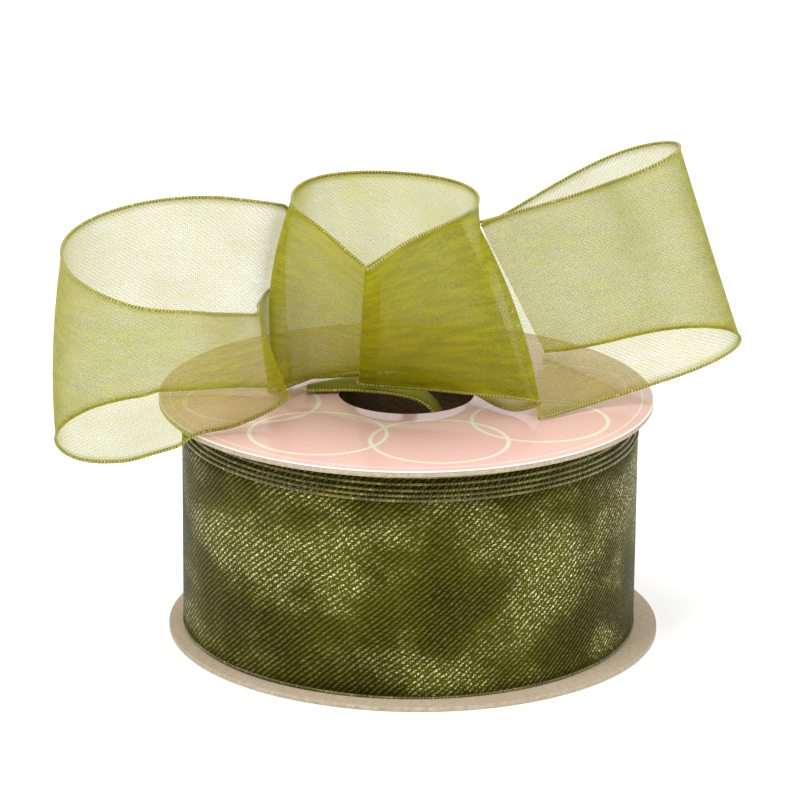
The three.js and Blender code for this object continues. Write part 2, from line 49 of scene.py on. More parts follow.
# ------------------------------------------------------------ camera
cam_data = bpy.data.cameras.new("camera")
cam = bpy.data.objects.new("camera", cam_data)
bpy.context.scene.collection.objects.link(cam)
bpy.context.scene.camera = cam
C = q(0.0, -798.1, 298.04)
A = q(0.0, 0.0, 30.0)
fwd = (A - C).normalized()
right = Vector((1, 0, 0))
up = right.cross(fwd).normalized()
roll = 0.0094
r2 = right * math.cos(roll) + up * math.sin(roll)
u2 = -right * math.sin(roll) + up * math.cos(roll)
cam.matrix_world = Matrix((
    (r2.x, u2.x, -fwd.x, C.x),
    (r2.y, u2.y, -fwd.y, C.y),
    (r2.z, u2.z, -fwd.z, C.z),
    (0, 0, 0, 1)))
cam_data.sensor_width = 36.0
cam_data.lens = 4451.2 / 800.0 * 36.0
cam_data.shift_x = (400.0 - 409.77) / 800.0
cam_data.shift_y = (474.22 - 400.0) / 800.0
cam_data.clip_start = 0.05
cam_data.clip_end = 20.0


# ------------------------------------------------------------ node helpers
class Net:
    def __init__(self, name):
        self.mat = bpy.data.materials.new(name)
        self.mat.use_nodes = True
        self.t = self.mat.node_tree
        self.t.nodes.clear()
        self.out = self.t.nodes.new("ShaderNodeOutputMaterial")

    def n(self, kind, **k):
        node = self.t.nodes.new(kind)
        for a, b in k.items():
            setattr(node, a, b)
        return node

    def link(self, a, b):
        self.t.links.new(a, b)

    def put(self, sock, v):
        if v is None:
            return
        if hasattr(v, "is_output"):
            self.link(v, sock)
        elif isinstance(v, tuple) and len(v) == 3 and sock.type == "RGBA":
            sock.default_value = (v[0], v[1], v[2], 1.0)
        else:
            sock.default_value = v

    def m(self, op, a, b=None, c=None, clamp=False):
        x = self.n("ShaderNodeMath", operation=op, use_clamp=clamp)
        for i, v in enumerate((a, b, c)):
            self.put(x.inputs[i], v)
        return x.outputs[0]

    def mix(self, f, a, b):
        x = self.n("ShaderNodeMix", data_type="RGBA")
        self.put(x.inputs[0], f)
        self.put(x.inputs[6], a)
        self.put(x.inputs[7], b)
        return x.outputs[2]

    def ramp(self, f, lo, hi, a=0.0, b=1.0, smooth=True):
        x = self.n("ShaderNodeMapRange", interpolation_type="SMOOTHSTEP" if smooth else "LINEAR", clamp=True)
        self.put(x.inputs[0], f)
        self.put(x.inputs[1], lo)
        self.put(x.inputs[2], hi)
        self.put(x.inputs[3], a)
        self.put(x.inputs[4], b)
        return x.outputs[0]

    def noise(self, vec, scale, detail=2.0, rough=0.5, dist=0.0):
        x = self.n("ShaderNodeTexNoise")
        self.link(vec, x.inputs["Vector"])
        x.inputs["Scale"].default_value = scale
        x.inputs["Detail"].default_value = detail
        x.inputs["Roughness"].default_value = rough
        x.inputs["Distortion"].default_value = dist
        return x.outputs["Fac"]

    def mapped(self, vec, scale, rot=(0, 0, 0), loc=(0, 0, 0)):
        x = self.n("ShaderNodeMapping")
        self.link(vec, x.inputs[0])
        x.inputs[1].default_value = loc
        x.inputs[2].default_value = rot
        x.inputs[3].default_value = scale
        return x.outputs[0]

    def uv(self):
        return self.n("ShaderNodeUVMap", uv_map="ribbon").outputs[0]

    def xyz(self, vec):
        x = self.n("ShaderNodeSeparateXYZ")
        self.link(vec, x.inputs[0])
        return x.outputs

    def comb(self, x, y, z=0.0):
        c = self.n("ShaderNodeCombineXYZ")
        for i, v in enumerate((x, y, z)):
            self.put(c.inputs[i], v)
        return c.outputs[0]

    def bump(self, h, strength, distance):
        x = self.n("ShaderNodeBump")
        self.link(h, x.inputs["Height"])
        x.inputs["Strength"].default_value = strength
        x.inputs["Distance"].default_value = distance
        return x.outputs[0]

    def bsdf(self, color, rough=0.5, metallic=0.0, normal=None, sheen=0.0, coat=0.0, spec=0.5, coat_rough=0.1):
        x = self.n("ShaderNodeBsdfPrincipled")
        self.put(x.inputs["Base Color"], color)
        self.put(x.inputs["Roughness"], rough)
        self.put(x.inputs["Metallic"], metallic)
        x.inputs["Specular IOR Level"].default_value = spec
        if sheen:
            x.inputs["Sheen Weight"].default_value = sheen
        if coat:
            x.inputs["Coat Weight"].default_value = coat
            x.inputs["Coat Roughness"].default_value = coat_rough
        if normal is not None:
            self.link(normal, x.inputs["Normal"])
        return x

    def done(self, shader):
        self.link(shader, self.out.inputs["Surface"])
        return self.mat


# ------------------------------------------------------------ materials
def organza(name, cover, deep=(0.27, 0.26, 0.002), light=(0.50, 0.475, 0.010), glint=1.0, through=0.40):
    """Sheer organza. The uv is in millimetres: x along the ribbon, y across it."""
    g = Net(name)
    uv = g.uv()
    x, y, _ = g.xyz(uv)
    # fine threads, both ways
    warp = g.m("SINE", g.m("MULTIPLY", y, 2 * math.pi / 0.42))
    weft = g.m("SINE", g.m("MULTIPLY", x, 2 * math.pi / 0.36))
    threads = g.m("MULTIPLY", g.m("ADD", warp, weft), 0.25)
    # slow moire, stretched along the slanted threads
    slant = g.mapped(uv, (0.16, 0.70, 1.0), rot=(0, 0, 0.75))
    moire = g.noise(slant, 1.0, 2.0, 0.5)
    # slanted lines where the threads cross
    twill = g.m("SINE", g.m("ADD", g.m("MULTIPLY", x, 2 * math.pi / 0.95), g.m("MULTIPLY", y, 2 * math.pi / 0.80)))
    wob = g.noise(g.mapped(uv, (0.9, 0.9, 1.0)), 1.0, 2.0, 0.6)
    twill = g.m("MULTIPLY", twill, g.ramp(wob, 0.35, 0.65))
    cloud = g.noise(uv, 0.085, 2.0, 0.5)
    slub = g.noise(g.mapped(uv, (0.9, 4.2, 1.0), rot=(0, 0, 0.70)), 1.0, 2.0, 0.6)
    # metallic threads with painted highlights: short bright glints painted into the colour, gathered in patches
    spark = g.noise(g.mapped(uv, (1.3, 5.0, 1.0), rot=(0, 0, 0.70)), 1.0, 2.0, 0.75)
    painted_glint_patch = g.ramp(g.noise(uv, 0.12, 2.0, 0.5), 0.46, 0.66)
    spark = g.ramp(spark, 0.58, 0.70)
    spark = g.m("MULTIPLY", spark, g.m("ADD", g.m("MULTIPLY", painted_glint_patch, 0.85), 0.15), clamp=True)
    tone = g.m("ADD", g.m("MULTIPLY", moire, 0.6), g.m("MULTIPLY", slub, 0.4))
    col = g.mix(g.ramp(tone, 0.30, 0.72), deep, light)
    # painted highlight: the glints' bright gold is mixed into the base colour
    col = g.mix(g.m("MULTIPLY", spark, 0.7 * glint, clamp=True), col, (1.0, 0.92, 0.35))
    height = g.m("ADD", threads, g.m("MULTIPLY", slub, 0.6))
    nrm = g.bump(height, 0.35, 0.00012)
    cloth = g.bsdf(col, g.ramp(spark, 0.0, 1.0, 0.42, 0.22), g.m("MULTIPLY", spark, 0.8 * glint, clamp=True), nrm, sheen=0.03, spec=0.2)
    cloth.inputs["Sheen Roughness"].default_value = 0.4
    tl = g.n("ShaderNodeBsdfTranslucent")
    g.put(tl.inputs["Color"], g.mix(0.5, col, light))
    g.link(nrm, tl.inputs["Normal"])
    body = g.n("ShaderNodeMixShader")
    body.inputs[0].default_value = through
    g.link(cloth.outputs[0], body.inputs[1])
    g.link(tl.outputs[0], body.inputs[2])
    clear = g.n("ShaderNodeBsdfTransparent")
    clear.inputs[0].default_value = (0.95, 0.955, 0.90, 1.0)
    a = g.m("ADD", cover, g.m("MULTIPLY", threads, 0.30))
    a = g.m("ADD", a, g.m("MULTIPLY", twill, 0.13))
    a = g.m("ADD", a, g.m("MULTIPLY", g.m("SUBTRACT", moire, 0.5), 0.22))
    a = g.m("ADD", a, g.m("MULTIPLY", g.m("SUBTRACT", slub, 0.5), 0.30))
    a = g.m("ADD", a, g.m("MULTIPLY", g.m("SUBTRACT", cloud, 0.5), 0.25))
    # seen at a slant the threads close up
    lw = g.n("ShaderNodeLayerWeight")
    lw.inputs[0].default_value = 0.5
    face = g.m("POWER", lw.outputs["Facing"], 2.0)
    a = g.m("ADD", a, g.m("MULTIPLY", face, 0.55))
    # the cloth is closer woven beside the corded edge
    edge = g.m("ABSOLUTE", g.m("SUBTRACT", y, 19.25))
    a = g.m("ADD", a, g.ramp(edge, 17.6, 18.9, 0.0, 0.25))
    a = g.m("ADD", a, g.m("MULTIPLY", spark, 0.30), clamp=True)
    mixs = g.n("ShaderNodeMixShader")
    g.link(a, mixs.inputs[0])
    g.link(clear.outputs[0], mixs.inputs[1])
    g.link(body.outputs[0], mixs.inputs[2])
    return g.done(mixs.outputs[0])


def cord_material(name, dark, light):
    """Overlocked edge: close stitches round a cord, with a gold thread. uv x is mm along the cord, y turns round it."""
    g = Net(name)
    uv = g.uv()
    x, y, _ = g.xyz(uv)
    st = g.m("SINE", g.m("ADD", g.m("MULTIPLY", x, 2 * math.pi / 0.62), g.m("MULTIPLY", y, 2 * math.pi)))
    stn = g.ramp(st, -0.7, 0.6)
    sp = g.ramp(g.noise(g.mapped(uv, (1.6, 1.0, 1.0)), 1.0, 2.0, 0.7), 0.55, 0.68)
    tone = g.noise(g.mapped(uv, (0.12, 0.3, 1.0)), 1.0, 2.0, 0.5)
    col = g.mix(stn, dark, light)
    col = g.mix(g.m("MULTIPLY", g.ramp(tone, 0.35, 0.7), 0.35), col, (0.42, 0.36, 0.06))
    col = g.mix(g.m("MULTIPLY", sp, 0.55), col, (0.95, 0.80, 0.22))
    nrm = g.bump(st, 0.6, 0.00012)
    b = g.bsdf(col, 0.42, g.m("MULTIPLY", sp, 0.7), nrm, sheen=0.25)
    return g.done(b.outputs[0])


def winding(name):
    """Many layers of the ribbon, wound tight. uv x is mm round the roll, y is mm above the ribbon's lower edge."""
    g = Net(name)
    uv = g.uv()
    x, y, _ = g.xyz(uv)
    # two slanted thread systems beat into a moire
    s1 = g.noise(g.mapped(uv, (0.45, 2.6, 1.0), rot=(0, 0, 0.62)), 1.0, 3.0, 0.65)
    s2 = g.noise(g.mapped(uv, (0.8, 3.6, 1.0), rot=(0, 0, 0.50)), 1.0, 2.0, 0.6)
    s3 = g.noise(g.mapped(uv, (3.4, 1.1, 1.0), rot=(0, 0, 0.25)), 1.0, 2.0, 0.6)
    cloud = g.noise(uv, 0.055, 3.0, 0.55)
    band = g.noise(g.mapped(uv, (0.035, 0.09, 1.0), rot=(0, 0, 0.5), loc=(3.1, 1.7, 0)), 1.0, 2.0, 0.5)
    warp = g.m("SINE", g.m("MULTIPLY", y, 2 * math.pi / 0.45))
    weft = g.m("SINE", g.m("MULTIPLY", x, 2 * math.pi / 0.40))
    thr = g.m("MULTIPLY", g.m("ADD", warp, weft), 0.5)
    tone = g.m("ADD", g.m("MULTIPLY", s1, 0.30), g.m("ADD", g.m("MULTIPLY", s2, 0.20), g.m("MULTIPLY", cloud, 0.50)))
    bend = g.m("MULTIPLY", g.noise(uv, 0.10, 2.0, 0.5), 9.0)
    line = g.m("SINE", g.m("ADD", bend, g.m("SUBTRACT", g.m("MULTIPLY", y, 2 * math.pi / 1.15), g.m("MULTIPLY", x, 2 * math.pi / 1.30))))
    line = g.ramp(line, -0.55, 0.75)
    tone = g.m("ADD", tone, g.m("MULTIPLY", g.m("SUBTRACT", line, 0.5), g.ramp(s1, 0.3, 0.6, 0.06, 0.20)))
    col = g.mix(g.ramp(tone, 0.34, 0.66), (0.018, 0.0175, 0.0004), (0.098, 0.092, 0.002))
    # painted highlights: glints, and a lighter tone, painted into the colour in three loose patches
    c = g.m("ADD", g.m("MULTIPLY", cloud, 0.65), g.m("MULTIPLY", band, 0.55))
    painted_glint_patch = g.ramp(c, 0.56, 0.74)
    fine = g.m("MULTIPLY", g.m("MULTIPLY", g.ramp(s2, 0.44, 0.58), g.ramp(s3, 0.44, 0.56)), line)
    glint_mask = g.m("MULTIPLY", fine, g.m("ADD", g.m("MULTIPLY", painted_glint_patch, 1.0), 0.10), clamp=True)
    # painted highlight: the colour is lighter over the glint patches
    col = g.mix(g.m("MULTIPLY", painted_glint_patch, 0.22), col, (0.13, 0.12, 0.006))
    col = g.mix(g.m("MULTIPLY", glint_mask, 0.95, clamp=True), col, (0.90, 0.86, 0.48))
    # painted shade: darker near the foot of the roll, in the corner beside the lower flange
    foot_shade = g.ramp(y, 0.4, 3.2, 0.55, 0.0)
    col = g.mix(foot_shade, col, (0.055, 0.052, 0.003))
    h = g.m("ADD", g.m("MULTIPLY", thr, 0.4), g.m("ADD", g.m("MULTIPLY", s1, 0.8), g.m("MULTIPLY", s3, 0.6)))
    nrm = g.bump(h, 0.45, 0.0002)
    b = g.bsdf(col, g.ramp(glint_mask, 0.0, 1.0, 0.46, 0.25), g.m("MULTIPLY", glint_mask, 0.85, clamp=True), nrm, sheen=0.0, spec=0.04)
    b.inputs["Sheen Roughness"].default_value = 0.45
    b.inputs["Sheen Tint"].default_value = (0.75, 0.8, 0.3, 1.0)
    return g.done(b.outputs[0])


def chipboard(name, edge_z=None):
    g = Net(name)
    tc = g.n("ShaderNodeTexCoord").outputs["Object"]
    fibre = g.noise(g.mapped(tc, (900, 2600, 900), rot=(0, 0, 0.3)), 1.0, 4.0, 0.65)
    fleck = g.ramp(g.noise(tc, 1500.0, 2.0, 0.6), 0.62, 0.72)
    cloud = g.noise(tc, 60.0, 3.0, 0.5)
    col = g.mix(g.ramp(fibre, 0.3, 0.7), (0.42, 0.335, 0.225), (0.60, 0.505, 0.37))
    col = g.mix(g.m("MULTIPLY", g.ramp(cloud, 0.35, 0.7), 0.35), col, (0.46, 0.36, 0.24))
    col = g.mix(g.m("MULTIPLY", fleck, 0.45), col, (0.30, 0.21, 0.12))
    nrm = g.bump(fibre, 0.3, 0.00008)
    return g.done(g.bsdf(col, 0.85, 0.0, nrm, spec=0.25).outputs[0])


def kraft_tube(name):
    """Spiral wound kraft: slanted seams up the wall."""
    g = Net(name)
    tc = g.n("ShaderNodeTexCoord").outputs["Object"]
    x, y, z = g.xyz(tc)
    cx = g.m("SUBTRACT", x, -OX * MM)
    ang = g.m("ARCTAN2", y, cx)
    wv = g.m("ADD", g.m("MULTIPLY", z, 2 * math.pi / 0.034), g.m("MULTIPLY", ang, 1.0))
    seam = g.ramp(g.m("ABSOLUTE", g.m("SINE", g.m("MULTIPLY", wv, 0.5))), 0.0, 0.045, 1.0, 0.0)
    fibre = g.noise(g.mapped(tc, (700, 700, 2400)), 1.0, 4.0, 0.65)
    col = g.mix(g.ramp(fibre, 0.3, 0.7), (0.075, 0.040, 0.018), (0.15, 0.085, 0.045))
    col = g.mix(g.m("MULTIPLY", seam, 0.7), col, (0.07, 0.04, 0.02))
    nrm = g.bump(g.m("SUBTRACT", fibre, seam), 0.35, 0.0001)
    return g.done(g.bsdf(col, 0.75, 0.0, nrm, spec=0.3).outputs[0])


def printed_paper(name, cx, cy):
    """Glossy pink print with a generic pattern of pale interlaced rings; the cut edge is white."""
    g = Net(name)
    tc = g.n("ShaderNodeTexCoord").outputs["Object"]
    x, y, z = g.xyz(tc)
    X = g.m("MULTIPLY", g.m("SUBTRACT", x, cx), 1000.0)
    Y = g.m("MULTIPLY", g.m("SUBTRACT", y, cy), 1000.0)
    r = g.m("SQRT", g.m("ADD", g.m("MULTIPLY", X, X), g.m("MULTIPLY", Y, Y)))
    ang = g.m("ARCTAN2", Y, X)
    # rings of equal circles whose centres stand on one circle, drawn as thin lines
    total = None
    for i in range(8):
        a = 2 * math.pi * i / 8 + 0.21
        px, py = 29.5 * math.cos(a), 29.5 * math.sin(a)
        dx = g.m("SUBTRACT", X, px)
        dy = g.m("SUBTRACT", Y, py)
        d = g.m("SQRT", g.m("ADD", g.m("MULTIPLY", dx, dx), g.m("MULTIPLY", dy, dy)))
        line = g.ramp(g.m("ABSOLUTE", g.m("SUBTRACT", d, 12.6)), 0.25, 0.52, 1.0, 0.0)
        total = line if total is None else g.m("MAXIMUM", total, line)
    rim = g.ramp(g.m("ABSOLUTE", g.m("SUBTRACT", r, 44.4)), 0.10, 0.30, 0.7, 0.0)
    total = g.m("MAXIMUM", total, rim)
    speck = g.noise(tc, 4000.0, 2.0, 0.5)
    pink = g.mix(g.ramp(speck, 0.35, 0.65), (0.76, 0.46, 0.44), (0.82, 0.51, 0.49))
    col = g.mix(g.m("MULTIPLY", total, 0.85), pink, (0.80, 0.84, 0.66))
    edge = g.ramp(r, 46.15, 46.4)
    col = g.mix(edge, col, (0.90, 0.88, 0.84))
    wave = g.noise(tc, 45.0, 1.0, 0.4)
    nrm = g.bump(wave, 0.06, 0.001)
    b = g.bsdf(col, g.ramp(edge, 0.0, 1.0, 0.22, 0.6), 0.0, nrm, coat=0.7, spec=0.5, coat_rough=0.06)
    return g.done(b.outputs[0])


# ------------------------------------------------------------ mesh helpers
def make(name, verts, faces, uvs, mat, smooth=True):
    me = bpy.data.meshes.new(name)
    me.from_pydata([tuple(v) for v in verts], [], faces)
    me.update()
    if uvs is not None:
        layer = me.uv_layers.new(name="ribbon")
        k = 0
        for f in uvs:
            for c in f:
                layer.data[k].uv = c
                k += 1
    for p in me.polygons:
        p.use_smooth = smooth
    me.materials.append(mat)
    ob = bpy.data.objects.new(name, me)
    bpy.context.scene.collection.objects.link(ob)
    return ob


STRIPS = {
"left_loop": [
  [(-22.77, 4.74, 79.50), (-23.42, 0.27, 82.30), (-24.97, -3.23, 83.64), (-27.34, -5.19, 84.52), (-30.02, -5.37, 84.88), (-32.46, -4.68, 84.96), (-34.80, -3.89, 84.97), (-37.23, -3.43, 84.93), (-39.69, -3.25, 84.85), (-42.18, -3.36, 84.74), (-44.66, -3.75, 84.61), (-47.11, -4.42, 84.44), (-49.50, -5.34, 84.24), (-51.78, -6.50, 83.99), (-53.92, -7.89, 83.72), (-55.92, -9.47, 83.42), (-57.75, -11.24, 83.10), (-59.37, -13.19, 82.74), (-60.75, -15.32, 82.35), (-61.85, -17.60, 81.92), (-62.64, -20.00, 81.46), (-63.07, -22.48, 80.97), (-63.14, -24.99, 80.45), (-62.86, -27.48, 79.91), (-62.25, -29.91, 79.35), (-61.33, -32.25, 78.79), (-60.14, -34.45, 78.23), (-58.67, -36.48, 77.67), (-56.96, -38.31, 77.11), (-55.01, -39.90, 76.60), (-52.82, -41.14, 76.08), (-50.47, -41.95, 75.45), (-48.00, -42.52, 75.01), (-45.47, -42.83, 74.73), (-42.91, -42.70, 74.51), (-40.47, -41.95, 74.23), (-38.38, -40.53, 73.73), (-36.73, -38.66, 73.05), (-35.37, -36.55, 72.32), (-34.15, -34.35, 71.64), (-32.95, -32.13, 70.94), (-31.74, -29.93, 70.26), (-30.47, -27.76, 69.60), (-29.15, -25.63, 68.93), (-28.28, -23.47, 68.45), (-27.93, -21.04, 68.16), (-27.93, -18.49, 67.93), (-28.08, -15.93, 67.65), (-28.20, -13.50, 67.20), (-28.00, -10.90, 66.90), (-27.70, -8.20, 66.70), (-27.40, -5.60, 66.60), (-27.10, -3.20, 66.50), (-26.70, -1.20, 66.40), (-25.90, 0.80, 66.30)],
  [(-23.69, 5.62, 65.64), (-26.18, 2.17, 65.73), (-27.88, -0.67, 65.86), (-29.75, -1.98, 65.91), (-31.76, -2.03, 65.90), (-33.76, -1.78, 65.86), (-35.71, -1.59, 65.81), (-37.60, -1.60, 65.74), (-39.52, -1.72, 65.65), (-41.54, -1.95, 65.57), (-43.69, -2.31, 65.50), (-46.03, -2.84, 65.42), (-48.46, -3.55, 65.32), (-50.81, -4.44, 64.88), (-53.08, -5.50, 64.63), (-55.27, -6.73, 64.38), (-57.35, -8.14, 64.10), (-59.29, -9.76, 63.80), (-61.04, -11.60, 63.46), (-62.55, -13.67, 63.08), (-63.79, -15.92, 62.67), (-64.70, -18.37, 62.21), (-65.18, -20.96, 61.71), (-65.11, -23.64, 61.15), (-64.44, -26.25, 60.55), (-63.16, -28.62, 59.95), (-61.37, -30.57, 59.39), (-59.25, -32.02, 58.93), (-56.96, -33.00, 58.59), (-54.60, -33.64, 58.37), (-52.19, -34.08, 58.27), (-49.79, -34.49, 58.37), (-47.37, -34.93, 58.63), (-44.93, -35.24, 58.97), (-42.47, -35.20, 59.33), (-40.09, -34.58, 59.99), (-37.92, -33.37, 60.06), (-36.02, -31.79, 59.72), (-34.30, -30.05, 59.36), (-32.61, -28.31, 59.20), (-30.92, -26.66, 59.17), (-29.23, -25.05, 59.21), (-27.57, -23.37, 59.31), (-25.97, -21.61, 59.45), (-25.25, -19.90, 59.36), (-25.42, -17.81, 59.10), (-26.08, -15.51, 58.73), (-26.83, -13.18, 58.31), (-27.25, -11.00, 57.90), (-27.50, -8.70, 57.70), (-27.60, -6.50, 57.60), (-27.50, -4.40, 57.60), (-27.25, -2.40, 57.60), (-26.75, -0.60, 57.60), (-25.85, 1.00, 57.60)],
  [(-22.28, 4.78, 46.75), (-24.24, 2.25, 46.75), (-26.01, 0.64, 46.80), (-28.06, 0.16, 46.85), (-30.26, 0.34, 46.84), (-32.38, 0.42, 46.78), (-34.42, 0.35, 46.69), (-36.38, 0.14, 46.60), (-38.36, -0.13, 46.50), (-40.41, -0.46, 46.41), (-42.59, -0.84, 46.40), (-44.95, -1.27, 46.40), (-47.39, -1.80, 46.40), (-49.81, -2.45, 45.75), (-52.19, -3.24, 45.54), (-54.50, -4.18, 45.31), (-56.73, -5.32, 45.06), (-58.81, -6.70, 44.79), (-60.67, -8.36, 44.48), (-62.28, -10.25, 44.13), (-63.63, -12.34, 43.74), (-64.65, -14.60, 43.31), (-65.25, -16.99, 42.85), (-65.25, -19.45, 42.33), (-64.58, -21.80, 41.79), (-63.20, -23.83, 41.27), (-61.23, -25.32, 40.84), (-58.89, -26.17, 40.57), (-56.40, -26.46, 40.47), (-53.88, -26.40, 40.53), (-51.39, -26.29, 40.77), (-49.01, -26.54, 41.53), (-46.70, -27.00, 42.42), (-44.39, -27.45, 43.30), (-42.05, -27.57, 44.20), (-39.73, -27.14, 45.78), (-37.48, -26.18, 46.40), (-35.33, -24.90, 46.40), (-33.22, -23.54, 46.40), (-31.09, -22.27, 46.76), (-28.90, -21.20, 47.39), (-26.72, -20.16, 48.15), (-24.66, -18.99, 49.02), (-22.78, -17.59, 49.97), (-22.21, -16.34, 50.27), (-22.90, -14.58, 50.04), (-24.23, -12.54, 49.52), (-25.57, -10.44, 48.96), (-26.30, -8.50, 48.60), (-26.40, -6.70, 48.50), (-26.30, -5.10, 48.50), (-26.00, -3.50, 48.50), (-25.70, -2.00, 48.50), (-25.30, -0.70, 48.50), (-24.60, 0.50, 48.50)] ],
"centre_loop": [
  [(8.41, -11.02, 83.28), (7.46, -12.56, 83.26), (6.27, -14.04, 83.14), (4.91, -15.45, 82.93), (3.46, -16.82, 82.67), (1.97, -18.16, 82.36), (0.42, -19.51, 81.95), (-1.20, -20.86, 81.40), (-2.84, -22.20, 80.69), (-4.53, -23.49, 79.85), (-5.78, -24.30, 79.23), (-6.77, -24.93, 78.76), (-7.46, -25.37, 78.45), (-7.93, -25.69, 78.25), (-8.22, -25.96, 78.10), (-8.37, -26.18, 77.99), (-8.38, -26.35, 77.91), (-8.29, -26.46, 77.86), (-8.09, -26.49, 77.86), (-7.75, -26.40, 77.96), (-7.27, -26.17, 78.18), (-6.58, -25.77, 78.55), (-5.62, -25.15, 79.09), (-4.41, -24.36, 79.77), (-2.81, -23.12, 80.67), (-1.24, -21.81, 81.46), (0.36, -20.49, 82.09), (1.98, -19.18, 82.59), (3.56, -17.85, 83.01), (5.06, -16.49, 83.36), (6.44, -15.07, 83.65), (7.66, -13.58, 83.87), (8.70, -12.01, 83.99), (9.25, -10.86, 83.99), (9.67, -9.94, 83.98), (9.93, -9.26, 83.96), (10.12, -8.67, 83.92), (10.28, -8.09, 83.86), (10.43, -7.52, 83.79), (10.55, -6.94, 83.70), (10.65, -6.36, 83.59), (10.74, -5.79, 83.47), (10.82, -5.21, 83.33), (10.89, -4.61, 83.18), (10.96, -3.90, 83.00), (11.06, -2.92, 82.76), (11.19, -1.68, 82.46), (11.51, 0.19, 82.26), (11.92, 2.14, 82.33), (12.24, 4.13, 82.62), (12.24, 6.09, 83.03), (11.69, 7.98, 83.47), (10.54, 9.73, 83.88), (8.78, 11.32, 84.23), (6.49, 12.72, 84.52), (3.79, 13.90, 84.74), (0.81, 14.82, 84.88), (-2.28, 15.47, 84.95), (-5.31, 15.82, 84.98), (-8.13, 15.86, 84.98), (-10.70, 15.60, 84.96), (-12.98, 15.03, 84.94), (-14.96, 14.18, 84.91), (-16.65, 13.06, 84.88), (-18.07, 11.70, 84.87), (-19.23, 10.12, 84.86), (-20.17, 8.37, 84.87), (-20.90, 6.46, 84.87), (-21.46, 4.44, 84.88), (-21.85, 2.33, 84.88), (-22.08, 0.17, 84.88), (-22.16, -2.02, 84.87), (-22.12, -3.52, 84.86), (-22.07, -4.68, 84.84), (-22.00, -5.49, 84.81), (-21.93, -6.13, 84.77), (-21.84, -6.70, 84.72), (-21.72, -7.24, 84.65), (-21.59, -7.73, 84.57), (-21.44, -8.20, 84.48), (-21.26, -8.63, 84.38), (-21.06, -9.03, 84.27), (-20.83, -9.40, 84.14), (-20.57, -9.76, 84.01), (-20.29, -10.09, 83.87), (-19.99, -10.40, 83.71), (-19.66, -10.70, 83.54), (-19.30, -11.00, 83.35), (-18.91, -11.29, 83.14), (-18.42, -11.65, 82.85), (-17.70, -12.15, 82.43), (-16.78, -12.80, 81.87), (-15.28, -13.91, 80.91), (-13.62, -15.28, 79.84), (-11.83, -16.80, 78.66), (-9.89, -18.29, 77.32), (-7.80, -19.74, 75.85), (-5.58, -21.15, 74.26)],
  [(16.05, -12.87, 66.70), (14.71, -13.09, 66.65), (12.96, -13.45, 66.57), (10.92, -13.88, 66.44), (8.76, -14.34, 66.27), (6.51, -14.55, 66.01), (4.16, -14.40, 65.63), (1.76, -14.00, 65.18), (-0.71, -13.57, 64.71), (-3.29, -13.29, 64.26), (-5.21, -13.35, 64.01), (-6.73, -13.42, 63.81), (-7.78, -13.51, 63.67), (-8.49, -13.63, 63.55), (-8.92, -13.76, 63.41), (-9.12, -13.91, 63.28), (-9.15, -14.05, 63.15), (-9.05, -14.19, 63.05), (-8.79, -14.29, 62.98), (-8.31, -14.33, 62.97), (-7.59, -14.31, 63.03), (-6.54, -14.26, 63.17), (-5.05, -14.20, 63.39), (-3.18, -14.16, 63.68), (-0.68, -14.49, 64.19), (1.73, -14.96, 64.74), (4.10, -15.38, 65.27), (6.46, -15.59, 65.75), (8.71, -15.42, 66.11), (10.77, -15.03, 66.36), (12.66, -14.68, 66.58), (14.44, -14.42, 66.75), (16.12, -14.21, 66.91), (17.13, -14.02, 67.02), (17.90, -13.82, 67.11), (18.39, -13.60, 67.16), (18.70, -13.32, 67.16), (18.92, -12.98, 67.13), (19.03, -12.57, 67.05), (19.05, -12.11, 66.93), (18.98, -11.62, 66.76), (18.82, -11.10, 66.56), (18.59, -10.57, 66.33), (18.30, -10.01, 66.07), (17.91, -9.33, 65.75), (17.34, -8.42, 65.33), (16.60, -7.26, 64.80), (15.61, -5.71, 64.39), (14.79, -4.08, 64.37), (14.04, -2.12, 64.51), (13.23, 0.07, 64.77), (12.14, 2.36, 65.06), (10.70, 4.65, 65.31), (8.87, 6.83, 65.51), (6.69, 8.83, 65.67), (4.22, 10.56, 65.78), (1.54, 11.97, 65.85), (-1.23, 13.02, 65.88), (-3.98, 13.70, 65.89), (-6.62, 13.98, 65.88), (-9.09, 13.89, 65.85), (-11.36, 13.44, 65.82), (-13.42, 12.67, 65.78), (-15.27, 11.73, 65.74), (-16.94, 10.72, 65.70), (-18.48, 9.53, 65.67), (-19.93, 8.07, 65.65), (-21.31, 6.43, 65.64), (-22.63, 4.78, 65.64), (-23.88, 3.16, 65.67), (-25.00, 1.51, 65.73), (-25.87, -0.39, 65.80), (-26.15, -1.87, 65.90), (-26.32, -3.01, 65.97), (-26.37, -3.81, 66.05), (-26.34, -4.44, 66.15), (-26.24, -5.04, 66.28), (-26.06, -5.63, 66.40), (-25.76, -6.22, 66.44), (-25.34, -6.80, 66.39), (-24.80, -7.33, 66.26), (-24.21, -7.71, 66.09), (-23.61, -7.90, 65.94), (-23.05, -7.92, 65.80), (-22.55, -7.83, 65.69), (-22.13, -7.68, 65.59), (-21.79, -7.50, 65.51), (-21.46, -7.31, 65.44), (-21.11, -7.12, 65.36), (-20.64, -6.94, 65.25), (-19.95, -6.73, 65.09), (-19.03, -6.49, 64.88), (-17.37, -6.49, 64.48), (-15.45, -6.86, 64.00), (-13.32, -7.33, 63.44), (-11.02, -7.67, 62.79), (-8.56, -7.97, 62.06), (-5.95, -8.34, 61.28)],
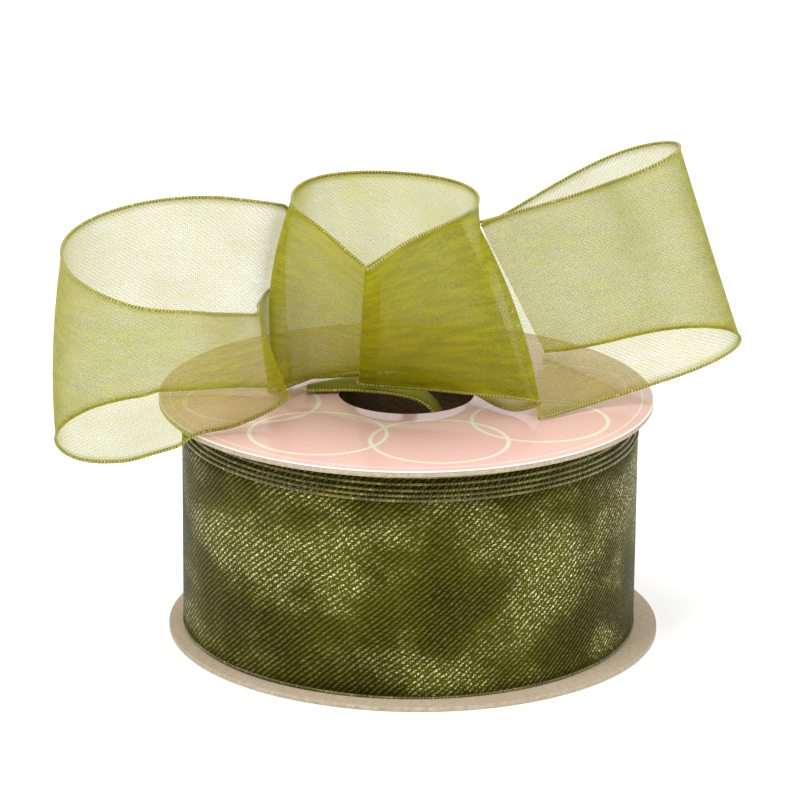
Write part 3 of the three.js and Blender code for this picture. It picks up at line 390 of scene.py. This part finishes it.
  [(21.60, -14.35, 49.97), (20.19, -13.36, 50.01), (18.35, -12.42, 50.03), (16.13, -11.54, 50.06), (13.64, -10.71, 50.11), (10.93, -9.52, 50.09), (7.98, -7.78, 49.92), (4.78, -5.79, 49.65), (1.39, -3.85, 49.39), (-2.16, -2.33, 49.21), (-4.75, -1.83, 49.23), (-6.79, -1.49, 49.24), (-8.19, -1.33, 49.22), (-9.11, -1.30, 49.13), (-9.64, -1.35, 48.97), (-9.87, -1.45, 48.76), (-9.90, -1.58, 48.56), (-9.79, -1.73, 48.39), (-9.50, -1.87, 48.27), (-8.92, -2.00, 48.18), (-7.99, -2.13, 48.12), (-6.59, -2.32, 48.09), (-4.58, -2.68, 48.08), (-2.04, -3.20, 48.09), (1.41, -4.77, 48.32), (4.75, -6.74, 48.66), (7.93, -8.77, 49.01), (10.93, -10.54, 49.28), (13.73, -11.74, 49.40), (16.28, -12.58, 49.44), (18.52, -13.46, 49.49), (20.40, -14.39, 49.56), (21.89, -15.34, 49.62), (22.60, -15.98, 49.67), (23.12, -16.47, 49.71), (23.42, -16.80, 49.74), (23.60, -17.00, 49.74), (23.73, -17.12, 49.70), (23.79, -17.15, 49.63), (23.80, -17.07, 49.52), (23.75, -16.88, 49.35), (23.64, -16.58, 49.14), (23.45, -16.21, 48.89), (23.17, -15.76, 48.59), (22.73, -15.16, 48.22), (21.99, -14.30, 47.69), (20.99, -13.18, 47.03), (19.21, -11.80, 46.48), (17.42, -10.39, 46.40), (15.76, -8.41, 46.40), (14.18, -5.97, 46.52), (12.58, -3.26, 46.65), (10.86, -0.43, 46.74), (8.96, 2.34, 46.79), (6.89, 4.93, 46.82), (4.65, 7.21, 46.83), (2.28, 9.11, 46.83), (-0.18, 10.58, 46.82), (-2.66, 11.57, 46.80), (-5.10, 12.10, 46.78), (-7.47, 12.17, 46.75), (-9.72, 11.81, 46.71), (-11.84, 11.08, 46.66), (-13.80, 10.26, 46.61), (-15.60, 9.46, 46.57), (-17.23, 8.48, 46.53), (-18.71, 7.11, 46.49), (-20.03, 5.49, 46.46), (-21.21, 3.96, 46.44), (-22.25, 2.60, 46.41), (-23.13, 1.49, 46.40), (-23.81, 0.29, 46.42), (-24.12, -0.83, 46.57), (-24.38, -1.72, 46.70), (-24.55, -2.35, 46.81), (-24.66, -2.85, 46.94), (-24.72, -3.28, 47.10), (-24.71, -3.65, 47.29), (-24.63, -3.96, 47.49), (-24.47, -4.20, 47.67), (-24.25, -4.35, 47.84), (-24.00, -4.39, 47.98), (-23.73, -4.31, 48.11), (-23.47, -4.13, 48.20), (-23.24, -3.86, 48.27), (-23.04, -3.54, 48.30), (-22.86, -3.18, 48.31), (-22.69, -2.81, 48.30), (-22.50, -2.43, 48.30), (-22.21, -1.96, 48.30), (-21.70, -1.28, 48.30), (-21.00, -0.40, 48.30), (-19.26, 1.53, 48.30), (-17.15, 1.87, 48.30), (-14.76, 2.28, 48.30), (-12.13, 3.01, 48.30), (-9.31, 3.82, 48.30), (-6.32, 4.48, 48.30)] ],
"right_loop": [
  [(12.82, 6.90, 77.01), (14.93, 7.12, 78.03), (17.00, 7.46, 79.09), (19.04, 7.92, 80.18), (21.05, 8.48, 81.28), (23.04, 9.09, 82.38), (25.04, 9.72, 83.46), (27.04, 10.34, 84.52), (29.07, 10.94, 85.56), (31.11, 11.51, 86.59), (33.18, 12.03, 87.58), (35.29, 12.43, 88.53), (37.45, 12.67, 89.44), (39.64, 12.67, 90.31), (41.82, 12.34, 91.11), (43.94, 11.62, 91.84), (45.89, 10.48, 92.49), (47.54, 8.90, 93.03), (48.75, 6.92, 93.44), (49.38, 4.67, 93.66), (49.33, 2.32, 93.67), (48.57, 0.10, 93.44), (47.22, -1.77, 92.96), (45.43, -3.13, 92.27), (43.36, -3.82, 91.39), (41.23, -3.70, 90.39), (39.34, -2.75, 89.37), (37.88, -1.18, 88.40), (36.78, 0.68, 87.48), (35.74, 2.58, 86.53), (34.42, 4.24, 85.52), (32.65, 5.41, 84.51), (30.54, 5.90, 83.61), (28.30, 5.69, 82.91), (26.12, 4.93, 82.43), (24.08, 3.79, 82.12), (22.16, 2.44, 81.91), (20.30, 1.01, 81.76), (18.50, -0.41, 81.61), (16.70, -1.82, 81.46), (14.88, -3.23, 81.31), (13.03, -4.64, 81.16)],
  [(19.36, 16.51, 61.70), (21.51, 16.24, 62.41), (23.65, 16.06, 63.20), (25.78, 15.98, 64.04), (27.88, 15.97, 64.91), (29.98, 16.00, 65.80), (32.08, 16.05, 66.70), (34.18, 16.10, 67.60), (36.29, 16.11, 68.48), (38.38, 16.06, 69.35), (40.48, 15.89, 70.18), (42.55, 15.58, 70.98), (44.60, 15.09, 71.73), (46.62, 14.39, 72.44), (48.56, 13.44, 73.10), (50.39, 12.21, 73.71), (52.05, 10.69, 74.25), (53.47, 8.89, 74.72), (54.57, 6.84, 75.09), (55.25, 4.59, 75.33), (55.45, 2.25, 75.42), (55.14, -0.04, 75.34), (54.32, -2.15, 75.07), (53.02, -3.93, 74.59), (51.28, -5.20, 73.89), (49.30, -5.78, 73.03), (47.31, -5.63, 72.07), (45.49, -4.90, 71.10), (43.88, -3.80, 70.14), (42.32, -2.56, 69.18), (40.63, -1.38, 68.19), (38.69, -0.51, 67.21), (36.54, -0.11, 66.32), (34.29, -0.25, 65.60), (32.08, -0.87, 65.06), (29.98, -1.88, 64.68), (28.00, -3.14, 64.43), (26.10, -4.54, 64.25), (24.46, -5.96, 64.11), (22.84, -7.40, 63.97), (21.16, -8.82, 63.86), (19.38, -10.22, 63.78)],
  [(25.90, 26.12, 46.40), (28.10, 25.36, 46.78), (30.30, 24.67, 47.31), (32.51, 24.04, 47.90), (34.72, 23.45, 48.54), (36.93, 22.90, 49.22), (39.13, 22.38, 49.93), (41.32, 21.86, 50.67), (43.50, 21.29, 51.40), (45.66, 20.60, 52.11), (47.77, 19.75, 52.79), (49.81, 18.72, 53.42), (51.76, 17.50, 54.02), (53.59, 16.11, 54.58), (55.29, 14.53, 55.10), (56.84, 12.79, 55.58), (58.21, 10.91, 56.02), (59.40, 8.89, 56.41), (60.38, 6.75, 56.74), (61.12, 4.51, 56.99), (61.58, 2.19, 57.17), (61.71, -0.18, 57.24), (61.42, -2.53, 57.18), (60.61, -4.73, 56.91), (59.21, -6.57, 56.40), (57.36, -7.86, 55.67), (55.27, -8.52, 54.78), (53.10, -8.62, 53.81), (50.98, -8.29, 52.81), (48.90, -7.69, 51.82), (46.84, -7.01, 50.85), (44.74, -6.43, 49.91), (42.54, -6.12, 49.04), (40.28, -6.18, 48.29), (38.04, -6.68, 47.69), (35.87, -7.55, 47.25), (33.83, -8.72, 46.95), (31.90, -10.08, 46.75), (30.03, -11.54, 46.60), (28.19, -13.03, 46.48), (26.34, -14.50, 46.40), (24.43, -15.90, 46.40)] ],
"bow_tail": [
  [(-19.50, 1.60, 46.80), (-17.50, 3.40, 46.75), (-15.00, 5.30, 46.70), (-12.50, 6.70, 46.70), (-10.00, 7.30, 46.70), (-7.00, 6.80, 46.70), (-4.00, 6.00, 46.65), (-1.50, 5.40, 46.40), (0.80, 5.00, 45.90), (2.90, 4.60, 44.90), (4.60, 4.30, 43.30), (5.90, 4.10, 41.20), (6.70, 4.10, 38.80), (7.10, 4.10, 36.20), (7.30, 4.20, 33.40), (7.40, 4.30, 30.60), (7.40, 4.40, 27.80), (7.40, 4.40, 25.00)],
  [(-19.50, 0.00, 46.80), (-17.50, 1.10, 46.75), (-15.00, 2.20, 46.70), (-12.50, 3.00, 46.70), (-10.00, 3.20, 46.70), (-7.00, 2.60, 46.70), (-4.00, 1.80, 46.65), (-1.50, 1.20, 46.40), (0.80, 0.80, 45.90), (2.90, 0.40, 44.90), (4.60, 0.10, 43.30), (5.90, -0.10, 41.20), (6.70, -0.10, 38.80), (7.10, -0.10, 36.20), (7.30, 0.00, 33.40), (7.40, 0.10, 30.60), (7.40, 0.20, 27.80), (7.40, 0.20, 25.00)],
  [(-19.50, -1.60, 46.80), (-17.50, -1.20, 46.75), (-15.00, -0.90, 46.70), (-12.50, -0.70, 46.70), (-10.00, -0.90, 46.70), (-7.00, -1.60, 46.70), (-4.00, -2.40, 46.65), (-1.50, -3.00, 46.40), (0.80, -3.40, 45.90), (2.90, -3.80, 44.90), (4.60, -4.10, 43.30), (5.90, -4.30, 41.20), (6.70, -4.30, 38.80), (7.10, -4.30, 36.20), (7.30, -4.20, 33.40), (7.40, -4.10, 30.60), (7.40, -4.00, 27.80), (7.40, -4.00, 25.00)] ]
}


def spline(pts, per):
    """Catmull-Rom through the points, with per steps between neighbours."""
    out = []
    n = len(pts)
    for i in range(n - 1):
        p0 = pts[max(i - 1, 0)]
        p1, p2 = pts[i], pts[i + 1]
        p3 = pts[min(i + 2, n - 1)]
        for s in range(per):
            t = s / per
            t2, t3 = t * t, t * t * t
            out.append(0.5 * ((2 * p1) + (p2 - p0) * t + (2 * p0 - 5 * p1 + 4 * p2 - p3) * t2 + (3 * p1 - p0 - 3 * p2 + p3) * t3))
    out.append(pts[-1].copy())
    return out


def strip_rows(name, per):
    rows = [[Vector(p) for p in row] for row in STRIPS[name]]
    if name == "right_loop":
        for row, far in zip(rows, (0.6, 1.2, 0.9)):
            row.append(row[-1] + (row[-1] - row[-2]).normalized() * far)
    T, M, B = [spline(row, per) for row in rows]
    return T, M, B


def strip_point(T, M, B, k, f):
    a, b, c = 2 * (f - 0.5) * (f - 1), 4 * f * (1 - f), 2 * f * (f - 0.5)
    return T[k] * a + M[k] * b + B[k] * c


def ribbon(name, per, across, mat, width=38.5, u0=0.0, inset=0.25):
    T, M, B = strip_rows(name, per)
    n = len(T)
    verts, faces, uvs = [], [], []
    us = [u0]
    for k in range(1, n):
        us.append(us[-1] + (M[k] - M[k - 1]).length)
    for k in range(n):
        w = (T[k] - B[k]).length
        e = min(inset / max(w, 1e-3), 0.1)
        for j in range(across + 1):
            f = e + (1 - 2 * e) * j / across
            verts.append(q(*strip_point(T, M, B, k, f)))
    m = across + 1
    for k in range(n - 1):
        for j in range(across):
            faces.append((k * m + j, k * m + j + 1, (k + 1) * m + j + 1, (k + 1) * m + j))
            v0, v1 = width * j / across, width * (j + 1) / across
            uvs.append(((us[k], v0), (us[k], v1), (us[k + 1], v1), (us[k + 1], v0)))
    return make(name + "_cloth", verts, faces, uvs, mat), us[-1] - u0, n


def folded(name, per, across, mat, layers=5, gap=0.34):
    """A ribbon folded lengthwise into layers, one over another."""
    T, M, B = strip_rows(name, per)
    n = len(T)
    verts, faces, uvs = [], [], []
    us = [0.0]
    for k in range(1, n):
        us.append(us[-1] + (M[k] - M[k - 1]).length)
    m = across + 1
    for k in range(n):
        tg = (M[min(k + 1, n - 1)] - M[max(k - 1, 0)]).normalized()
        cr = (B[k] - T[k]).normalized()
        nm = tg.cross(cr).normalized()
        for j in range(m):
            s = layers * j / across
            i = min(int(s), layers - 1)
            f = s - i if i % 2 == 0 else 1 - (s - i)
            f = 0.04 + 0.92 * f
            off = gap * (2 * j / across - 1)
            verts.append(q(*(strip_point(T, M, B, k, f) + nm * off)))
    for k in range(n - 1):
        for j in range(across):
            faces.append((k * m + j, k * m + j + 1, (k + 1) * m + j + 1, (k + 1) * m + j))
            v0, v1 = 38.5 * j / across, 38.5 * (j + 1) / across
            uvs.append(((us[k], v0), (us[k], v1), (us[k + 1], v1), (us[k + 1], v0)))
    return make(name + "_cloth", verts, faces, uvs, mat), us[-1], n


def tube(name, pts, radius, sides, mat, u0=0.0, twist=0.0, flat=1.0):
    """A cord of round section along points in mm, closed at both ends."""
    n = len(pts)
    verts, faces, uvs = [], [], []
    tang = []
    for k in range(n):
        t = pts[min(k + 1, n - 1)] - pts[max(k - 1, 0)]
        if t.length < 1e-9:
            t = Vector((1, 0, 0))
        tang.append(t.normalized())
    ref = Vector((0, 0, 1))
    if abs(tang[0].dot(ref)) > 0.9:
        ref = Vector((1, 0, 0))
    nrm = (ref - tang[0] * ref.dot(tang[0])).normalized()
    us = [u0]
    for k in range(1, n):
        us.append(us[-1] + (pts[k] - pts[k - 1]).length)
    for k in range(n):
        nrm = (nrm - tang[k] * nrm.dot(tang[k])).normalized()
        bi = tang[k].cross(nrm)
        for j in range(sides):
            a = 2 * math.pi * j / sides
            verts.append(q(*(pts[k] + nrm * (radius * math.cos(a)) + bi * (radius * flat * math.sin(a)))))
    for k in range(n - 1):
        for j in range(sides):
            j2 = (j + 1) % sides
            faces.append((k * sides + j, k * sides + j2, (k + 1) * sides + j2, (k + 1) * sides + j))
            v0, v1 = j / sides, (j + 1) / sides
            uvs.append(((us[k], v0), (us[k], v1), (us[k + 1], v1), (us[k + 1], v0)))
    for base, rev in ((0, True), ((n - 1) * sides, False)):
        f = [base + j for j in range(sides)]
        if rev:
            f.reverse()
        faces.append(tuple(f))
        uvs.append(tuple((us[0] if rev else us[-1], 0.5) for _ in f))
    return make(name, verts, faces, uvs, mat)


def edge_line(name, f, per):
    T, M, B = strip_rows(name, per)
    row = T if f == 0 else B
    out = []
    for k in range(len(row)):
        c = strip_point(T, M, B, k, 0.04 if f == 0 else 0.96) - row[k]
        if c.length > 1e-9:
            c.normalize()
        out.append(row[k] + c * 0.25)
    return out


def lathe(name, profile, cx, cy, segs, mat, closed=True, wob=None):
    """A closed profile of (radius, height) in mm, turned about the vertical at (cx, cy). uv x is mm round, y the height."""
    m = len(profile)
    verts, faces, uvs = [], [], []
    for i in range(segs):
        a = 2 * math.pi * i / segs
        for (r, z) in profile:
            rr, zz = (r, z) if wob is None else wob(r, z, a)
            verts.append(q(cx + rr * math.cos(a), cy + rr * math.sin(a), zz))
    rm = max(p[0] for p in profile)
    for i in range(segs):
        i2 = (i + 1) % segs
        u0, u1 = 2 * math.pi * rm * i / segs, 2 * math.pi * rm * (i + 1) / segs
        for j in range(m if closed else m - 1):
            j2 = (j + 1) % m
            faces.append((i * m + j, i2 * m + j, i2 * m + j2, i * m + j2))
            uvs.append(((u0, profile[j][1]), (u1, profile[j][1]), (u1, profile[j2][1]), (u0, profile[j2][1])))
    return make(name, verts, faces, uvs, mat)


def rounded(r0, r1, z0, z1, e, steps=3):
    """A ring's section with its four corners rounded by e."""
    pts = []
    for (cx, cz, a0) in ((r1 - e, z0 + e, -90), (r1 - e, z1 - e, 0), (r0 + e, z1 - e, 90), (r0 + e, z0 + e, 180)):
        for s in range(steps + 1):
            a = math.radians(a0 + 90 * s / steps)
            pts.append((cx + e * math.cos(a), cz + e * math.sin(a)))
    return pts


def with_rows(profile, r_from, r_to, z, k):
    return profile


# ------------------------------------------------------------ dimensions (mm), as in the CAD
FLANGE_R, BOARD, PAPER = 46.5, 0.85, 0.25
CORE_IN, CORE_OUT = 12.75, 14.25
Z_LB = 0.30
Z_G0 = Z_LB + BOARD
Z_G1 = Z_G0 + 43.65
Z_UP = Z_G1 + BOARD + 0.05
LOW = (0.86, -0.39)
UPP = (-0.81, 0.39)

M_board = chipboard("kraft_chipboard")
M_core = kraft_tube("kraft_core")
M_label_up = printed_paper("printed_paper_upper", (UPP[0] - OX) * MM, (UPP[1] - OY) * MM)
M_label_low = printed_paper("printed_paper_lower", (LOW[0] - OX) * MM, (LOW[1] - OY) * MM)
M_sheer = organza("organza_single", 0.47)
M_sheer_dense = organza("organza_centre", 0.64, deep=(0.30, 0.295, 0.0015), light=(0.55, 0.53, 0.006), glint=1.4)
M_wind = winding("organza_wound")
M_cord = cord_material("corded_edge", (0.15, 0.145, 0.004), (0.46, 0.42, 0.035))
M_cord_dark = cord_material("corded_edge_wound", (0.016, 0.015, 0.0005), (0.12, 0.108, 0.004))

# ------------------------------------------------------------ spool
def done(ob, body, slot_name, *nodes):
    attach(ob, body)
    if nodes:
        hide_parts(*nodes)
    return ob


b1 = lathe("lower_flange_board_disc", rounded(CORE_IN, FLANGE_R, Z_LB, Z_LB + BOARD, 0.16), LOW[0], LOW[1], 256, M_board)
done(b1, "spool", "chipboard", "lower_flange_board")
b2 = lathe("upper_flange_board_disc", rounded(CORE_IN, FLANGE_R, Z_G1, Z_G1 + BOARD, 0.16), UPP[0], UPP[1], 256, M_board)
done(b2, "spool", "chipboard", "upper_flange_board")
l1 = lathe("lower_flange_paper", rounded(CORE_IN, FLANGE_R, 0.0, PAPER, 0.06, 2), LOW[0], LOW[1], 256, M_label_low)
done(l1, "spool", "printed_paper", "lower_flange_label")
l2 = lathe("upper_flange_paper", rounded(CORE_IN, FLANGE_R, Z_UP, Z_UP + PAPER, 0.06, 2), UPP[0], UPP[1], 256, M_label_up)
done(l2, "spool", "printed_paper", "upper_flange_label")
c1 = lathe("core_tube_wall", rounded(CORE_IN, CORE_OUT, Z_G0 + 0.05, Z_G1 - 0.05, 0.12), 0, 0, 192, M_core)
done(c1, "spool", "kraft_tube", "core_tube")

# the roll: the outer turns climb inwards like steps, and each has its corded edges
LIFT = [4.0, 2.8, 1.7, 0.8, 0.0]
ZT0 = Z_G0 + 0.1


def sag(r, z, a, k=0.0):
    """The turns aren't quite round or level."""
    rr = r + 0.10 * math.sin(2 * a + 0.6 + k) + 0.05 * math.sin(5 * a + 1.1 * k)
    zz = z + 0.16 * math.sin(a * 2 + 0.9 + 1.7 * k) + 0.08 * math.sin(a * 5 + k)
    return rr, zz


inner_r = 42.9 - 0.34 * 5
prof = [(CORE_OUT + 0.05, ZT0 + 4.4), (inner_r, ZT0 + 4.4), (inner_r, ZT0 + 42.9), (CORE_OUT + 0.05, ZT0 + 42.9)]
pts = []
# the end faces of the roll are the stacked selvedges: fine concentric ridges
for s in range(0, 61):
    r = CORE_OUT + 0.05 + (inner_r - CORE_OUT - 0.05) * s / 60
    pts.append((r, ZT0 + 4.4 + (0.12 if s % 2 else 0.0)))
for s in range(60, -1, -1):
    r = CORE_OUT + 0.05 + (inner_r - CORE_OUT - 0.05) * s / 60
    pts.append((r, ZT0 + 42.9 - (0.12 if s % 2 else 0.0)))
roll_in = lathe("wound_ribbon_roll", pts, 0, 0, 192, M_wind)
done(roll_in, "spool", "wound_organza", "wound_ribbon")

for i in range(5):
    r1 = 42.9 - 0.34 * (4 - i)
    r0 = r1 - 0.29
    z0 = ZT0 + LIFT[i]
    z1 = z0 + 38.5
    col = [(r0, z0 + 0.25), (r1, z0 + 0.25)]
    for s in range(1, 16):
        col.append((r1, z0 + 0.25 + (38.0) * s / 16))
    col += [(r1, z1 - 0.25), (r0, z1 - 0.25)]
    kk = 1.3 * i
    turn = lathe("turn_%d_cloth" % (i + 1), col, 0, 0, 256, M_wind, wob=lambda r, z, a, kk=kk: sag(r, z, a, 0.0))
    done(turn, "spool", "wound_organza", "outer_turn_%d" % (i + 1))
    for tag, z in (("upper", z1 - 0.3), ("lower", z0 + 0.3)):
        line = []
        for s in range(361):
            a = 2 * math.pi * s / 360
            rr, zz = sag(r1 - 0.10, z, a, 0.0)
            line.append(Vector((rr * math.cos(a), rr * math.sin(a), zz)))
        cordo = tube("turn_%d_%s_edge" % (i + 1, tag), line, 0.27, 8, M_cord_dark)
        done(cordo, "spool", "corded_edge")

# ------------------------------------------------------------ bow
SHEETS = {}
for name, per, held in (("left_loop", 4, "gathered"), ("centre_loop", 4, "folded"), ("right_loop", 4, "gathered"), ("bow_tail", 4, "folded")):
    if name == "bow_tail":
        ob, length, n = folded(name, per, 30, M_sheer)
    else:
        ob, length, n = ribbon(name, per, 28, M_sheer_dense if name == "centre_loop" else M_sheer)
    done(ob, "bow", "loop_organza", name)
    SHEETS[name] = (ob, length, held)

EDGES = {
    "left_loop": [], "centre_loop": [], "right_loop": [], "bow_tail": []}
for name, f, node in (
        ("left_loop", 0, "left_loop_upper_edge"), ("left_loop", 1, "left_loop_lower_edge"),
        ("centre_loop", 0, "centre_loop_upper_edge"), ("centre_loop", 1, "centre_loop_lower_edge"),
        ("right_loop", 0, "right_loop_upper_edge"), ("right_loop", 1, "right_loop_lower_edge"),
        ("bow_tail", 1, "bow_tail_front_edge")):
    line = edge_line(name, f, 4)
    ob = tube(node + "_cord", line, 0.30, 8, M_cord)
    done(ob, "bow", "corded_edge", node)
    EDGES[name].append(ob)

for name, (ob, length, held) in SHEETS.items():
    print("sheet", name, round(length, 1), "mm long")

# ------------------------------------------------------------ floor and light
def stage_mesh():
    g = Net("pale_floor")
    tc = g.n("ShaderNodeTexCoord").outputs["Object"]
    nz = g.noise(tc, 3.0, 2.0, 0.5)
    col = g.mix(nz, (0.90, 0.90, 0.90), (0.93, 0.93, 0.93))
    b = g.bsdf(col, 0.6, 0.0, None, spec=0.2)
    b.inputs["Emission Color"].default_value = (1.0, 1.0, 1.0, 1.0)
    b.inputs["Emission Strength"].default_value = 0.18
    return g.done(b.outputs[0])


bm = bmesh.new()
prof = [(-2.2, 0.0)]
for s in range(0, 13):
    a = math.radians(90 * s / 12)
    prof.append((1.6 + 0.9 * math.sin(a), 0.9 - 0.9 * math.cos(a)))
prof.append((2.5, 4.0))
rows = []
for (y, z) in prof:
    rows.append([bm.verts.new((x, y, z - 0.00002)) for x in (-4.5, 4.5)])
for a, b in zip(rows, rows[1:]):
    bm.faces.new((a[0], a[1], b[1], b[0]))
me = bpy.data.meshes.new("floor_sweep")
bm.to_mesh(me)
bm.free()
for p in me.polygons:
    p.use_smooth = True
me.materials.append(stage_mesh())
floor = bpy.data.objects.new("floor_sweep", me)
bpy.context.scene.collection.objects.link(floor)


def area(name, loc, target, size, power, color=(1, 1, 1), size_y=None):
    d = bpy.data.lights.new(name, "AREA")
    d.shape = "RECTANGLE"
    d.size = size
    d.size_y = size_y or size
    d.energy = power
    d.color = color
    o = bpy.data.objects.new(name, d)
    o.location = loc
    o.rotation_euler = (Vector(target) - Vector(loc)).to_track_quat("-Z", "Y").to_euler()
    bpy.context.scene.collection.objects.link(o)
    return o


area("key", (-0.55, -0.60, 0.95), (0, 0, 0.05), 0.55, 8.0)
area("fill", (0.75, -0.55, 0.60), (0, 0, 0.05), 0.6, 3.6)
area("back", (0.15, 0.85, 0.95), (0, 0, 0.05), 0.9, 3.0)
area("top", (0.0, 0.0, 1.3), (0, 0, 0), 1.0, 6.5)

world = bpy.data.worlds.new("studio")
bpy.context.scene.world = world
world.use_nodes = True
world.node_tree.nodes["Background"].inputs[0].default_value = (1.0, 1.0, 1.0, 1.0)
world.node_tree.nodes["Background"].inputs[1].default_value = 0.42
bpy.context.scene.view_settings.view_transform = "Standard"
